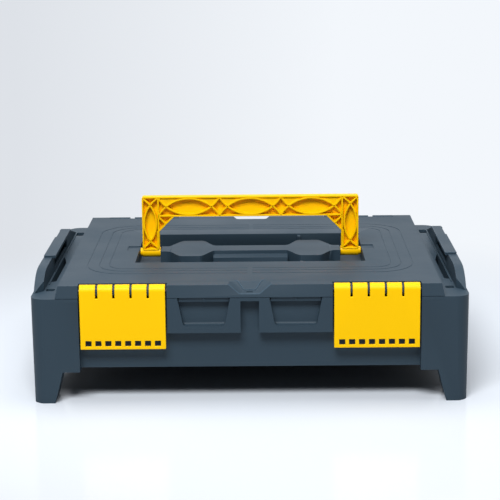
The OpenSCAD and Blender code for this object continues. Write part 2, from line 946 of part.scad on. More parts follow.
module carry_handle() {
    color("#f5b800")
        difference() {
            union() {
                along_y(web_back - web_t / 2, web_back + web_t / 2)
                    handle_outline(0);
                along_y(-handle_t / 2, handle_t / 2)
                    handle_ribs();
                both_sides() {
                    rod(barrel_in, barrel_out, 0, pivot_z, barrel_r);
                    rod(barrel_out - eps, boss_out, 0, pivot_z, boss_r);
                }
            }
            both_sides()
                rod(barrel_in - over, boss_out + over, 0, pivot_z, handle_pin_r + running);
        }
}

module handle_pin() {
    color("silver")
        rod(neck_in - 1.5, well_hw + bearing_l - 2, 0, pivot_z, handle_pin_r);
}

module left() {
    mirror([1, 0, 0])
        children();
}

base_shell();
left() rail_cap();  // rail_cap_left
rail_cap();  // rail_cap_right
lid_shell();
left() hinge_pin();  // hinge_pin_left
hinge_pin();  // hinge_pin_right
carry_handle();
left() handle_pin();  // handle_pin_left
handle_pin();  // handle_pin_right
left() latch();  // latch_left
latch();  // latch_right
left() latch_pin();  // latch_pin_left
latch_pin();  // latch_pin_right
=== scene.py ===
# %% [markdown]
# # A slim stacking tool case
#
# The case is a shallow tub on four corner feet, with a rail along each side, a hinged lid, two yellow
# snap latches and a yellow carry handle that folds into a well in the lid. Everything but the pins is
# injection-moulded plastic, so its look comes from three things: softly rounded mould edges, a satin
# skin with a very fine grain, and the narrow dark gaps where one moulding meets the next.
#
# The frame already holds every piece at its real size, in metres, with +Z up and the front on -Y.

# %% Load the frame
import math

import bmesh
import bpy
from mathutils import Matrix, Vector


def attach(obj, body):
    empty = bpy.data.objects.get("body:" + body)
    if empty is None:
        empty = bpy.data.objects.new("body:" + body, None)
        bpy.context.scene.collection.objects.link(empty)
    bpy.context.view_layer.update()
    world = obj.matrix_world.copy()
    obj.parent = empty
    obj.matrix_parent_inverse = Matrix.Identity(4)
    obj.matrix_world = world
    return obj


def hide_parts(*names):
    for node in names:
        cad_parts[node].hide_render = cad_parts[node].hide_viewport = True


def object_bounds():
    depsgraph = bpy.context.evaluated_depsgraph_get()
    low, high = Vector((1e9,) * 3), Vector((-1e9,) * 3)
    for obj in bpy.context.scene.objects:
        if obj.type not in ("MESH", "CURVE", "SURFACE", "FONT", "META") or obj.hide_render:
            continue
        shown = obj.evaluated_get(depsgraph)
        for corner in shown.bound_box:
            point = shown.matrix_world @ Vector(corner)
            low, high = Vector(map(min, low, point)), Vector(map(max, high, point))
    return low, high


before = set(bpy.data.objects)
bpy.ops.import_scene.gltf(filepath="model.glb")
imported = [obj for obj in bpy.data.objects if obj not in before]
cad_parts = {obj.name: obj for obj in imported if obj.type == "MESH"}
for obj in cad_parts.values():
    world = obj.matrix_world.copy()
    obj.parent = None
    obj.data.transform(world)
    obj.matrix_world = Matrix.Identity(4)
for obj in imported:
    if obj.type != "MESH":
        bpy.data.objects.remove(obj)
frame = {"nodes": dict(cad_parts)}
cad_box = [list(corner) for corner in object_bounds()]
MM = 0.001
print("nodes:", ", ".join(frame["nodes"]))

# %% [markdown]
# ## The camera
#
# The photograph has the look of a long lens from a little above the lid. The case's width and depth were
# taken as known, and the camera's place, turn and focal length were fitted to where its corners, feet and
# handle fall in the picture. The picture alone doesn't settle the depth: other depths, each with a camera
# of its own, fit about as well.

# %% Camera
IMAGE_WIDTH_PX = 500
FOCAL_PX = 1609.3
SENSOR_MM = 36
FAR_CLIP = 50
CAMERA_AT = Vector((13.83, -1740.2, 501.49)) * MM
YAW = math.radians(-0.476)
PITCH = math.radians(12.40)
ROLL = math.radians(-0.579)


def camera_axes(yaw, pitch, roll):
    """The camera's right, up and forward directions."""
    forward = Vector((math.sin(yaw) * math.cos(pitch), math.cos(yaw) * math.cos(pitch), -math.sin(pitch)))
    level = Vector((math.cos(yaw), -math.sin(yaw), 0))
    upright = level.cross(forward)
    right = math.cos(roll) * level + math.sin(roll) * upright
    up = math.cos(roll) * upright - math.sin(roll) * level
    return right, up, forward


def make_camera():
    right, up, forward = camera_axes(YAW, PITCH, ROLL)
    data = bpy.data.cameras.new("photo_camera")
    data.sensor_width = SENSOR_MM
    data.lens = SENSOR_MM * FOCAL_PX / IMAGE_WIDTH_PX
    data.clip_end = FAR_CLIP
    camera = bpy.data.objects.new("photo_camera", data)
    camera.matrix_world = Matrix.Translation(CAMERA_AT) @ Matrix((right, up, -forward)).transposed().to_4x4()
    bpy.context.scene.collection.objects.link(camera)
    bpy.context.scene.camera = camera
    return camera


camera = make_camera()
print("lens:", round(camera.data.lens, 1), "mm")

# %% [markdown]
# ## Studio light
#
# Product photographs like this one use large soft boxes. One hangs over the case, so that the lid reads
# lighter than the upright walls. A second one stands in front, a little to the left, and high enough that
# its light comes down past the case's front edge at about 50 degrees: the gap behind it is dark. The
# world is an even white room for diffuse light; the camera and mirror-like gloss see the pale backdrop
# instead.

# %% World
def srgb(red, green, blue):
    """A colour as a picture shows it, 0 to 255, in the linear values that shaders use."""
    def linear(value):
        value /= 255
        return value / 12.92 if value <= 0.04045 else ((value + 0.055) / 1.055) ** 2.4
    return (linear(red), linear(green), linear(blue), 1.0)


BACKDROP = srgb(239, 243, 248)
ROOM = 0.13


def add_seen(tree):
    """1 for what is seen by the camera, in a reflection or through something clear, else 0."""
    path = tree.nodes.new("ShaderNodeLightPath")
    seen = path.outputs["Is Camera Ray"]
    for ray in ("Is Glossy Ray", "Is Transmission Ray"):
        more = tree.nodes.new("ShaderNodeMath")
        more.operation = "MAXIMUM"
        tree.links.new(seen, more.inputs[0])
        tree.links.new(path.outputs[ray], more.inputs[1])
        seen = more.outputs[0]
    return seen


def make_world():
    world = bpy.data.worlds.new("studio")
    world.use_nodes = True
    tree = world.node_tree
    tree.nodes.clear()
    room = tree.nodes.new("ShaderNodeBackground")
    room.inputs["Color"].default_value = (1, 1, 1, 1)
    room.inputs["Strength"].default_value = ROOM
    shown = tree.nodes.new("ShaderNodeBackground")
    shown.inputs["Color"].default_value = BACKDROP
    mix = tree.nodes.new("ShaderNodeMixShader")
    out = tree.nodes.new("ShaderNodeOutputWorld")
    for source, target in ((add_seen(tree), mix.inputs[0]), (room.outputs[0], mix.inputs[1]),
                           (shown.outputs[0], mix.inputs[2]), (mix.outputs[0], out.inputs["Surface"])):
        tree.links.new(source, target)
    bpy.context.scene.world = world


make_world()
bpy.context.scene.view_settings.view_transform = "Standard"
print("room light:", ROOM)


# %% Lamps
def soft_lamp(name, place, aim, size, watts):
    data = bpy.data.lights.new(name, "AREA")
    data.shape = "RECTANGLE"
    data.size, data.size_y = size
    data.energy = watts
    lamp = bpy.data.objects.new(name, data)
    lamp.location = place
    lamp.rotation_euler = (Vector(aim) - Vector(place)).to_track_quat("-Z", "Y").to_euler()
    bpy.context.scene.collection.objects.link(lamp)
    return lamp


TOP_WATTS = 18
FRONT_WATTS = 64
top_lamp = soft_lamp("top_softbox", place=(0.05, 0.1, 1.7), aim=(0, 0, 0.1), size=(1.6, 1.2),
                     watts=TOP_WATTS)
front_lamp = soft_lamp("front_softbox", place=(-0.30, -1.60, 1.92), aim=(0, -0.15, 0.08), size=(1.3, 0.8),
                       watts=FRONT_WATTS)
print("lamps:", top_lamp.name, front_lamp.name)

# %% [markdown]
# ## Node helpers
#
# Materials and Geometry Nodes are both trees of small nodes. Three helpers keep them readable: one adds a
# node with its sockets set and linked by name, one does a sum, and one closes a material.

# %% Node helpers
def feed(tree, value, socket):
    """Links the value to a socket where it is a socket itself, and else writes it there."""
    if isinstance(value, bpy.types.NodeSocket):
        tree.links.new(value, socket)
    else:
        socket.default_value = value


def add(tree, kind, values=None, **links):
    """A node with its sockets' values set, and its inputs linked by name (spaces written as _)."""
    node = tree.nodes.new(kind)
    for key, value in (values or {}).items():
        if hasattr(node, key) and key not in node.inputs:
            setattr(node, key, value)
        else:
            node.inputs[key].default_value = value
    for key, source in links.items():
        feed(tree, source, node.inputs[key.replace("_", " ")])
    return node


def calc(tree, operation, *values):
    """One sum: each value is a number or another node's socket."""
    node = tree.nodes.new("ShaderNodeMath")
    node.operation = operation
    for socket, value in zip(node.inputs, values):
        feed(tree, value, socket)
    return node.outputs[0]


def new_material(name):
    material = bpy.data.materials.new(name)
    material.use_nodes = True
    tree = material.node_tree
    tree.nodes.clear()
    return material, tree


def finish_tree(tree, shader):
    out = tree.nodes.new("ShaderNodeOutputMaterial")
    tree.links.new(shader.outputs[0], out.inputs["Surface"])


def mixed_colour(tree, factor, first, second):
    mix = add(tree, "ShaderNodeMix", {"data_type": "RGBA"}, Factor=factor)
    colours = [socket for socket in mix.inputs if socket.type == "RGBA"]
    for socket, colour in zip(colours, (first, second)):
        feed(tree, colour, socket)
    return [socket for socket in mix.outputs if socket.type == "RGBA"][0]


# %% [markdown]
# ## Moulded plastic
#
# Tool cases are moulded in polypropylene in a spark-eroded steel mould. Its skin has a fine, even grain
# of about half a millimetre and a satin gloss; broad, faint waves show where thick ribs behind the wall
# shrank, and handling leaves long, fine rub marks that only show in the gloss. Noise textures at these
# real scales make all three, so that nothing depends on a picture of the surface.
#
# Every mould edge is a little rounded and handling polishes it, so it catches more light than the flat next
# to it. The same recipe, smoother and in a paler colour that is a painted highlight, makes a second material
# for those edges.

# %% Plastic material
PLASTIC_IOR = 1.49
CLOUDS_PER_M, WAVES_PER_M, GRAIN_PER_M = 14, 22, 1900
WAVE_HEIGHT, GRAIN_HEIGHT = 0.0003, 0.00005
RUB_TURN, RUB_STRETCH = (0, 0, 0.5), (12, 420, 60)
RUB_STARTS, RUB_FULL, RUB_POLISH = 0.62, 0.8, 0.06
EDGE_POLISH = 0.08


def moulded_plastic(name, colour, roughness, grain=0.35, drift=0.05, shade=0.06, sheen=0.21):
    material, tree = new_material(name)
    where = add(tree, "ShaderNodeTexCoord").outputs["Object"]
    clouds = add(tree, "ShaderNodeTexNoise", {"Scale": CLOUDS_PER_M, "Detail": 3, "Roughness": 0.5},
                 Vector=where)
    skin = add(tree, "ShaderNodeTexNoise", {"Scale": GRAIN_PER_M, "Detail": 2, "Roughness": 0.6},
               Vector=where)
    waves = add(tree, "ShaderNodeTexNoise", {"Scale": WAVES_PER_M, "Detail": 1, "Roughness": 0.4},
                Vector=where)
    dark = [channel * (1 - shade) for channel in colour[:3]] + [1]
    light = [min(1, channel * (1 + shade)) for channel in colour[:3]] + [1]
    tint = mixed_colour(tree, clouds.outputs["Fac"], dark, light)
    along = add(tree, "ShaderNodeMapping", {"Rotation": RUB_TURN, "Scale": RUB_STRETCH}, Vector=where)
    rubs = add(tree, "ShaderNodeTexNoise", {"Scale": 1, "Detail": 2, "Roughness": 0.7},
               Vector=along.outputs["Vector"])
    gloss = add(tree, "ShaderNodeMapRange", {
        "From Min": 0.3, "From Max": 0.7, "To Min": roughness - drift, "To Max": roughness + drift,
    }, Value=clouds.outputs["Fac"])
    rubbed = add(tree, "ShaderNodeMapRange", {
        "From Min": RUB_STARTS, "From Max": RUB_FULL, "To Min": 0, "To Max": -RUB_POLISH,
    }, Value=rubs.outputs["Fac"])
    total = calc(tree, "ADD", gloss.outputs["Result"], rubbed.outputs["Result"])
    broad = add(tree, "ShaderNodeBump", {"Strength": 0.1, "Distance": WAVE_HEIGHT},
                Height=waves.outputs["Fac"])
    fine = add(tree, "ShaderNodeBump", {"Strength": grain, "Distance": GRAIN_HEIGHT},
               Height=skin.outputs["Fac"], Normal=broad.outputs["Normal"])
    plastic = add(tree, "ShaderNodeBsdfPrincipled", {"IOR": PLASTIC_IOR, "Specular IOR Level": sheen},
                  Base_Color=tint, Roughness=total, Normal=fine.outputs["Normal"])
    finish_tree(tree, plastic)
    return material


def plastic_pair(name, colour, roughness, painted_highlight_gain=1.5, **more):
    """The plastic of the flats and that of the edges, smoother and paler as a painted highlight."""
    # a paler copy of the colour: a painted highlight on the edges
    edge = [min(1, channel * painted_highlight_gain) for channel in colour[:3]] + [1]
    return (moulded_plastic(name, colour, roughness, **more),
            moulded_plastic(name + "_edge", edge, roughness - EDGE_POLISH, **more))


BASE_BLUE = srgb(45, 61, 73)
LID_BLUE = srgb(42, 58, 70)
LATCH_YELLOW = srgb(252, 200, 0)
HANDLE_YELLOW = srgb(253, 197, 0)
base_plastic = plastic_pair("base_plastic", BASE_BLUE, 0.50)
lid_plastic = plastic_pair("lid_plastic", LID_BLUE, 0.50, 2.0)
cap_plastic = plastic_pair("cap_plastic", LID_BLUE, 0.48)
latch_plastic = plastic_pair("latch_plastic", LATCH_YELLOW, 0.42, 1.1, grain=0.2, shade=0.02, sheen=0.12)
handle_plastic = plastic_pair("handle_plastic", HANDLE_YELLOW, 0.40, 1.1, grain=0.15, shade=0.03, sheen=0.12)
for pair in (base_plastic, lid_plastic, cap_plastic, latch_plastic, handle_plastic):
    print("plastic:", ", ".join(material.name for material in pair))


# %% [markdown]
# ## Steel pins
#
# The hinge, latch and handle pins are cut from drawn wire, which keeps faint lines along its length. They
# sit in the shade between the mouldings, where the photograph shows no bright ends, so blackened steel is
# the guess made here.

# %% Steel material
STEEL_BLACK = (0.05, 0.05, 0.055, 1)
WIRE_STRETCH = (20, 900, 900)
WIRE_LINE_HEIGHT = 0.00002


def drawn_steel():
    material, tree = new_material("pin_steel")
    where = add(tree, "ShaderNodeTexCoord").outputs["Object"]
    along = add(tree, "ShaderNodeMapping", {"Scale": WIRE_STRETCH}, Vector=where)
    lines = add(tree, "ShaderNodeTexNoise", {"Scale": 1, "Detail": 3}, Vector=along.outputs["Vector"])
    gloss = add(tree, "ShaderNodeMapRange", {"To Min": 0.5, "To Max": 0.7}, Value=lines.outputs["Fac"])
    bump = add(tree, "ShaderNodeBump", {"Strength": 0.1, "Distance": WIRE_LINE_HEIGHT},
               Height=lines.outputs["Fac"])
    steel = add(tree, "ShaderNodeBsdfPrincipled", {"Base Color": STEEL_BLACK, "Metallic": 1.0},
                Roughness=gloss.outputs["Result"], Normal=bump.outputs["Normal"])
    finish_tree(tree, steel)
    return material


pin_steel = (drawn_steel(),)
print("steel:", pin_steel[0].name)

# %% [markdown]
# ## Rounded mould edges
#
# A real mould has no perfectly sharp edge: each one is broken by a few tenths of a millimetre, and that
# is what catches the light along the lid and the latches. The frame's meshes are sharp, so a copy of
# each is welded, its flat faces are joined, and a Bevel modifier rounds every edge sharper than an angle
# and gives the new strip the edge material, whose paler colour is a painted highlight.

# %% Edge helpers
WELD = 1e-6
FLAT = math.radians(0.6)
CORNER = 28


def copy_of(node, name, materials):
    """A welded copy of a node's mesh as a new object."""
    mesh = frame["nodes"][node].data.copy()
    mesh.name = name
    grid = bmesh.new()
    grid.from_mesh(mesh)
    bmesh.ops.remove_doubles(grid, verts=grid.verts, dist=WELD)
    bmesh.ops.dissolve_limit(grid, angle_limit=FLAT, verts=grid.verts, edges=grid.edges)
    grid.to_mesh(mesh)
    grid.free()
    mesh.materials.clear()
    for material in materials:
        mesh.materials.append(material)
    piece = bpy.data.objects.new(name, mesh)
    bpy.context.scene.collection.objects.link(piece)
    return piece


def smooth_between_corners(mesh):
    for face in mesh.polygons:
        face.use_smooth = True
    mesh.set_sharp_from_angle(angle=math.radians(CORNER))


def round_edges(piece, radius, segments=2):
    bevel = piece.modifiers.new("round_edges", "BEVEL")
    bevel.width = radius
    bevel.segments = segments
    bevel.limit_method = "ANGLE"
    bevel.angle_limit = math.radians(CORNER)
    bevel.harden_normals = True
    # the rounded strip takes the last material, the edge one, whose paler colour is a painted highlight
    bevel.material = len(piece.data.materials) - 1
    smooth_between_corners(piece.data)


def ready(piece, body, slot, *nodes):
    """Makes a finished piece ride on its body and stand for its nodes. The slot is not used."""
    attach(piece, body)
    if nodes:
        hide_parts(*nodes)
    print(piece.name, "on", body, "faces:", len(piece.data.polygons))


def dress(node, body, materials, slot, radius):
    piece = copy_of(node, node + "_skin", materials)
    round_edges(piece, radius)
    ready(piece, body, slot, node)
    return piece


# %% Base and rail caps
dress("base_shell", "base", base_plastic, "base_plastic", radius=0.5 * MM)
for side in ("left", "right"):
    dress("rail_cap_" + side, "base", cap_plastic, "cap_plastic", radius=0.6 * MM)

# %% Lid
lid_skin = dress("lid_shell", "lid", lid_plastic, "lid_plastic", radius=0.4 * MM)

# %% Latches
for side in ("left", "right"):
    dress("latch_" + side, "latch_" + side, latch_plastic, "latch_plastic", radius=0.4 * MM)

# %% Pins
for kind in ("hinge_pin", "latch_pin", "handle_pin"):
    for side in ("left", "right"):
        dress(kind + "_" + side, "lid", pin_steel, "pin_steel", radius=0.3 * MM)

# %% [markdown]
# ## The lattice handle
#
# The carry handle is a thin web with a frame round it and a lattice of upright ribs. In every cell two
# arcs cross and leave a lens between them: three cells along the bar and one in each leg. Such ribs make
# a long thin moulding stiff without a thick section that would sink as it cools.
#
# The lattice follows a rule, so Geometry Nodes make it. The frame and the straight ribs start as plain
# lines. The tree rounds the frame's corners, sweeps one rounded section along everything, works out each
# arc from its cell's length and depth, repeats the cells, and adds the web and the barrels. A cell with
# half length a and depth 2 d needs an arc of radius (a * a + r * r) / (2 * r), where r, its rise, is that
# depth less a small gap: the arc starts in one corner, stops just short of the far side in the middle and
# ends in the next corner. The web lies deep between the ribs, but above the bar's crossing arcs the cells
# are filled up to a floor close behind the front.

# %% Handle sizes
HANDLE = {
    "half_width": 119, "top": 180.5, "bar_bottom": 158, "leg_inner": 101, "gusset": 16.5,
    "pivot": 117.8, "thickness": 11, "rib": 1.9, "arc_gap": 1.3, "web": 1.6, "web_behind": 1.5,
    "high_floor": 1.6,
    "barrel_radius": 5.5, "barrel_inner": 99.3, "barrel_outer": 119.3,
    "boss_radius": 4.5, "boss_outer": 121.6, "boss_sink": 1, "bore": 2.3,
    "edge_radius": 0.4, "bend_radius": 1.2,
}
BAR_CELLS = 3
FRAME_FOOT, RIB_FOOT = 0.64, 0.9  # starts inside the barrel, in barrel radii above the pivot
SECTION_CORNER_STEPS, BEND_STEPS = 3, 5
ARC_POINTS, FLOOR_POINTS, BARREL_SIDES = 26, 48, 48
print("handle:", 2 * HANDLE["half_width"], "mm wide")


# %% Middle lines
def handle_lines():
    """The middle lines of the frame and of the straight ribs, in the handle's own plane."""
    h = {key: value * MM for key, value in HANDLE.items()}
    t = h["rib"] / 2
    slant = t * (math.sqrt(2) - 1)
    foot = h["pivot"] + FRAME_FOOT * h["barrel_radius"]
    out, top, low, inner = h["half_width"] - t, h["top"] - t, h["bar_bottom"] + t, h["leg_inner"] + t
    half = [
        (out, foot), (out, top), (-out, top), (-out, foot), (-inner, foot),
        (-inner, h["bar_bottom"] - h["gusset"] - slant), (-h["leg_inner"] + h["gusset"] + slant, low),
        (h["leg_inner"] - h["gusset"] - slant, low), (inner, h["bar_bottom"] - h["gusset"] - slant),
        (inner, foot),
    ]
    points = [(x, y, 0) for x, y in half]
    edges = [(i, (i + 1) % len(half)) for i in range(len(half))]
    framed = [True] * len(edges)
    rib_foot = h["pivot"] + RIB_FOOT * h["barrel_radius"]
    corner = h["leg_inner"]
    reach = h["gusset"] / 2
    for side in (-1, 1):
        for start, end in (
            ((side * corner, rib_foot), (side * corner, top)),
            ((side * (corner - h["gusset"]), low), (side * corner, low)),
            ((side * corner, h["bar_bottom"]), (side * (corner - reach), h["bar_bottom"] - reach)),
        ):
            points += [(*start, 0), (*end, 0)]
            edges.append((len(points) - 2, len(points) - 1))
            framed.append(False)
    mesh = bpy.data.meshes.new("handle_lines")
    mesh.from_pydata(points, edges, [])
    mark = mesh.attributes.new("frame_line", "BOOLEAN", "EDGE")
    mark.data.foreach_set("value", framed)
    lines = bpy.data.objects.new("handle_lines", mesh)
    bpy.context.scene.collection.objects.link(lines)
    return lines


# %% Tree helpers
def vector(tree, x=0.0, y=0.0, z=0.0):
    node = tree.nodes.new("ShaderNodeCombineXYZ")
    for socket, value in zip(node.inputs, (x, y, z)):
        feed(tree, value, socket)
    return node.outputs[0]


def moved(tree, geometry, place=None, turn=(0, 0, 0)):
    node = add(tree, "GeometryNodeTransform", Geometry=geometry)
    node.inputs["Rotation"].default_value = turn
    if place is not None:
        tree.links.new(place, node.inputs["Translation"])
    return node.outputs["Geometry"]


def joined(tree, *parts):
    node = tree.nodes.new("GeometryNodeJoinGeometry")
    for part in parts:
        tree.links.new(part, node.inputs[0])
    return node.outputs[0]


# %% A new tree, and the section of a rib
def new_group(name, inputs):
    """An empty tree with a geometry input, the named inputs and a geometry output."""
    tree = bpy.data.node_groups.new(name, "GeometryNodeTree")
    tree.interface.new_socket("Lines", in_out="INPUT", socket_type="NodeSocketGeometry")
    for label, kind in inputs.items():
        tree.interface.new_socket(label, in_out="INPUT", socket_type=kind)
    tree.interface.new_socket("Mesh", in_out="OUTPUT", socket_type="NodeSocketGeometry")
    return tree, tree.nodes.new("NodeGroupInput").outputs, tree.nodes.new("NodeGroupOutput").inputs


def bar_profile(tree, width, height, corner):
    """A rounded rectangle, the section of every rib."""
    box = add(tree, "GeometryNodeCurvePrimitiveQuadrilateral", {"mode": "RECTANGLE"},
              Width=width, Height=height)
    return add(tree, "GeometryNodeFilletCurve", {"mode": "POLY", "Count": SECTION_CORNER_STEPS},
               Curve=box.outputs["Curve"], Radius=corner).outputs["Curve"]


def swept(tree, path, profile):
    flat = add(tree, "GeometryNodeSetCurveNormal", {"mode": "Z_UP"}, Curve=path).outputs["Curve"]
    return add(tree, "GeometryNodeCurveToMesh", {"Fill Caps": True}, Curve=flat,
               Profile_Curve=profile).outputs["Mesh"]


# %% Cells of crossing arcs
def arc_radius(tree, half, depth, gap):
    """The radius of an arc from one lower corner of a cell to the other, its top a gap under the cell's."""
    rise = calc(tree, "SUBTRACT", calc(tree, "MULTIPLY", 2, depth), gap)
    squares = calc(tree, "ADD", calc(tree, "MULTIPLY", half, half), calc(tree, "MULTIPLY", rise, rise))
    return calc(tree, "DIVIDE", squares, calc(tree, "MULTIPLY", 2, rise))


def row_of(tree, cells, half, cell):
    """The same cell in a row along X."""
    step = calc(tree, "MULTIPLY", 2, half)
    first = calc(tree, "MULTIPLY", calc(tree, "SUBTRACT", 1, cells), half)
    places = add(tree, "GeometryNodeMeshLine", {"mode": "OFFSET"}, Count=cells,
                 Start_Location=vector(tree, x=first), Offset=vector(tree, x=step)).outputs["Mesh"]
    return add(tree, "GeometryNodeInstanceOnPoints", Points=places, Instance=cell).outputs["Instances"]


def arc_cells(tree, cells, half, depth, gap, profile):
    """A row of cells along X; in each, two arcs cross and leave a lens between them."""
    radius = arc_radius(tree, half, depth, gap)
    spread = calc(tree, "ARCSINE", calc(tree, "DIVIDE", half, radius))
    arc = add(tree, "GeometryNodeCurveArc", {"mode": "RADIUS", "Resolution": ARC_POINTS}, Radius=radius,
              Start_Angle=calc(tree, "SUBTRACT", math.pi / 2, spread),
              Sweep_Angle=calc(tree, "MULTIPLY", 2, spread)).outputs["Curve"]
    apex = calc(tree, "SUBTRACT", depth, gap)
    upper = moved(tree, arc, vector(tree, y=calc(tree, "SUBTRACT", apex, radius)))
    lower = moved(tree, upper, turn=(math.pi, 0, 0))
    return row_of(tree, cells, half, swept(tree, joined(tree, upper, lower), profile))


# %% Solid plates
def thickened(tree, plate, thickness):
    """A flat plate made a closed solid, lifted along Z."""
    lifted = add(tree, "GeometryNodeExtrudeMesh", {"mode": "FACES", "Individual": False}, Mesh=plate,
                 Offset=vector(tree, z=thickness)).outputs["Mesh"]
    back = add(tree, "GeometryNodeFlipFaces", Mesh=plate).outputs["Mesh"]
    return add(tree, "GeometryNodeMergeByDistance", {"Distance": WELD},
               Geometry=joined(tree, lifted, back)).outputs["Geometry"]


def high_floors(tree, cells, half, depth, gap, rib, thickness):
    """The filled-in floors above the crossing arcs, from the arcs' own curve up to the cell's top."""
    strip = add(tree, "GeometryNodeMeshGrid", {"Vertices X": FLOOR_POINTS, "Vertices Y": 2, "Size Y": 1.0},
                Size_X=calc(tree, "SUBTRACT", calc(tree, "MULTIPLY", 2, half), rib)).outputs["Mesh"]
    place = add(tree, "ShaderNodeSeparateXYZ", Vector=add(tree, "GeometryNodeInputPosition").outputs[0])
    radius = arc_radius(tree, half, depth, gap)
    squares = calc(tree, "SUBTRACT", calc(tree, "MULTIPLY", radius, radius),
                   calc(tree, "MULTIPLY", place.outputs["X"], place.outputs["X"]))
    apex = calc(tree, "SUBTRACT", depth, gap)
    arc = calc(tree, "ABSOLUTE", calc(tree, "ADD", calc(tree, "SUBTRACT", apex, radius),
                                      calc(tree, "SQRT", squares)))
    top = calc(tree, "GREATER_THAN", place.outputs["Y"], 0)
    height = calc(tree, "ADD", arc, calc(tree, "MULTIPLY", top, calc(tree, "SUBTRACT", depth, arc)))
    shaped = add(tree, "GeometryNodeSetPosition", Geometry=strip,
                 Position=vector(tree, place.outputs["X"], height)).outputs["Geometry"]
    return row_of(tree, cells, half, thickened(tree, shaped, thickness))


# %% Barrels
def ring(tree, outer, inner, length, corner):
    """A thick ring round Z, with its edges rounded."""
    middle = calc(tree, "MULTIPLY", 0.5, calc(tree, "ADD", outer, inner))
    wall = calc(tree, "SUBTRACT", outer, inner)
    circle = add(tree, "GeometryNodeCurvePrimitiveCircle", {"Resolution": BARREL_SIDES},
                 Radius=middle).outputs["Curve"]
    return swept(tree, circle, bar_profile(tree, wall, length, corner))


# %% The handle's tree
SIZE = "NodeSocketFloat"
HANDLE_INPUTS = {
    "Rib Thickness": SIZE, "Handle Thickness": SIZE, "Edge Radius": SIZE, "Bend Radius": SIZE,
    "Bar Cells": "NodeSocketInt", "Bar Cell Half Length": SIZE, "Bar Cell Half Depth": SIZE,
    "Bar Middle": SIZE, "Arc Gap": SIZE, "Leg Cell Half Length": SIZE, "Leg Cell Half Depth": SIZE,
    "Leg Middle": SIZE, "Leg Height": SIZE, "Web Thickness": SIZE, "Web Set Back": SIZE,
    "High Floor Depth": SIZE, "Pivot Height": SIZE,
    "Barrel Radius": SIZE, "Barrel Length": SIZE, "Barrel Middle": SIZE, "Boss Radius": SIZE,
    "Boss Length": SIZE, "Boss Middle": SIZE, "Bore Radius": SIZE, "Plastic": "NodeSocketMaterial",
}


def handle_tree():
    tree, given, result = new_group("lattice_handle", HANDLE_INPUTS)
    profile = bar_profile(tree, given["Rib Thickness"], given["Handle Thickness"], given["Edge Radius"])
    is_frame = add(tree, "GeometryNodeInputNamedAttribute", {"data_type": "BOOLEAN", "Name": "frame_line"})
    is_frame = [socket for socket in is_frame.outputs if socket.name == "Attribute" and socket.enabled][0]
    frame_path = add(tree, "GeometryNodeMeshToCurve", Mesh=given["Lines"],
                     Selection=is_frame).outputs["Curve"]
    not_frame = add(tree, "FunctionNodeBooleanMath", {"operation": "NOT"}, Boolean=is_frame).outputs[0]
    rib_path = add(tree, "GeometryNodeMeshToCurve", Mesh=given["Lines"], Selection=not_frame).outputs["Curve"]
    bent = add(tree, "GeometryNodeFilletCurve", {"mode": "POLY", "Count": BEND_STEPS, "Limit Radius": True},
               Curve=frame_path, Radius=given["Bend Radius"]).outputs["Curve"]
    outline = swept(tree, bent, profile)
    ribs = swept(tree, rib_path, profile)

    plate = add(tree, "GeometryNodeFillCurve", {"mode": "TRIANGLES"}, Curve=bent).outputs["Mesh"]
    half_web = calc(tree, "MULTIPLY", -0.5, given["Web Thickness"])
    web_back = calc(tree, "SUBTRACT", half_web, given["Web Set Back"])
    web = moved(tree, thickened(tree, plate, given["Web Thickness"]), vector(tree, z=web_back))

    front = calc(tree, "SUBTRACT", calc(tree, "MULTIPLY", 0.5, given["Handle Thickness"]),
                 given["High Floor Depth"])
    floors = high_floors(tree, given["Bar Cells"], given["Bar Cell Half Length"],
                         given["Bar Cell Half Depth"], given["Arc Gap"], given["Rib Thickness"],
                         calc(tree, "SUBTRACT", front, half_web))
    floors = moved(tree, floors, vector(tree, y=given["Bar Middle"], z=half_web))

    bar = moved(tree, arc_cells(tree, given["Bar Cells"], given["Bar Cell Half Length"],
                                given["Bar Cell Half Depth"], given["Arc Gap"], profile),
                vector(tree, y=given["Bar Middle"]))
    leg = moved(tree, arc_cells(tree, 1, given["Leg Cell Half Length"], given["Leg Cell Half Depth"],
                                given["Arc Gap"], profile), turn=(0, 0, math.pi / 2))
    barrel = moved(tree, ring(tree, given["Barrel Radius"], given["Bore Radius"], given["Barrel Length"],
                              given["Edge Radius"]), turn=(0, math.pi / 2, 0))
    boss = moved(tree, ring(tree, given["Boss Radius"], given["Bore Radius"], given["Boss Length"],
                            given["Edge Radius"]), turn=(0, math.pi / 2, 0))
    sides = []
    for side in (-1, 1):
        for part, across, up in ((leg, "Leg Middle", "Leg Height"), (barrel, "Barrel Middle", "Pivot Height"),
                                 (boss, "Boss Middle", "Pivot Height")):
            place = vector(tree, calc(tree, "MULTIPLY", side, given[across]), given[up])
            sides.append(moved(tree, part, place))
    whole = joined(tree, outline, ribs, web, floors, bar, *sides)
    upright = moved(tree, whole, turn=(math.pi / 2, 0, 0))
    plain = add(tree, "GeometryNodeRealizeInstances", Geometry=upright).outputs["Geometry"]
    dressed = add(tree, "GeometryNodeSetMaterial", Geometry=plain, Material=given["Plastic"])
    tree.links.new(dressed.outputs["Geometry"], result["Mesh"])
    return tree


# %% Fill in the sizes
def set_inputs(modifier, values):
    """Sets a Geometry Nodes modifier's inputs, found by name and written by identifier."""
    names = {item.name: item.identifier for item in modifier.node_group.interface.items_tree
             if item.in_out == "INPUT"}
    for label, value in values.items():
        modifier[names[label]] = value


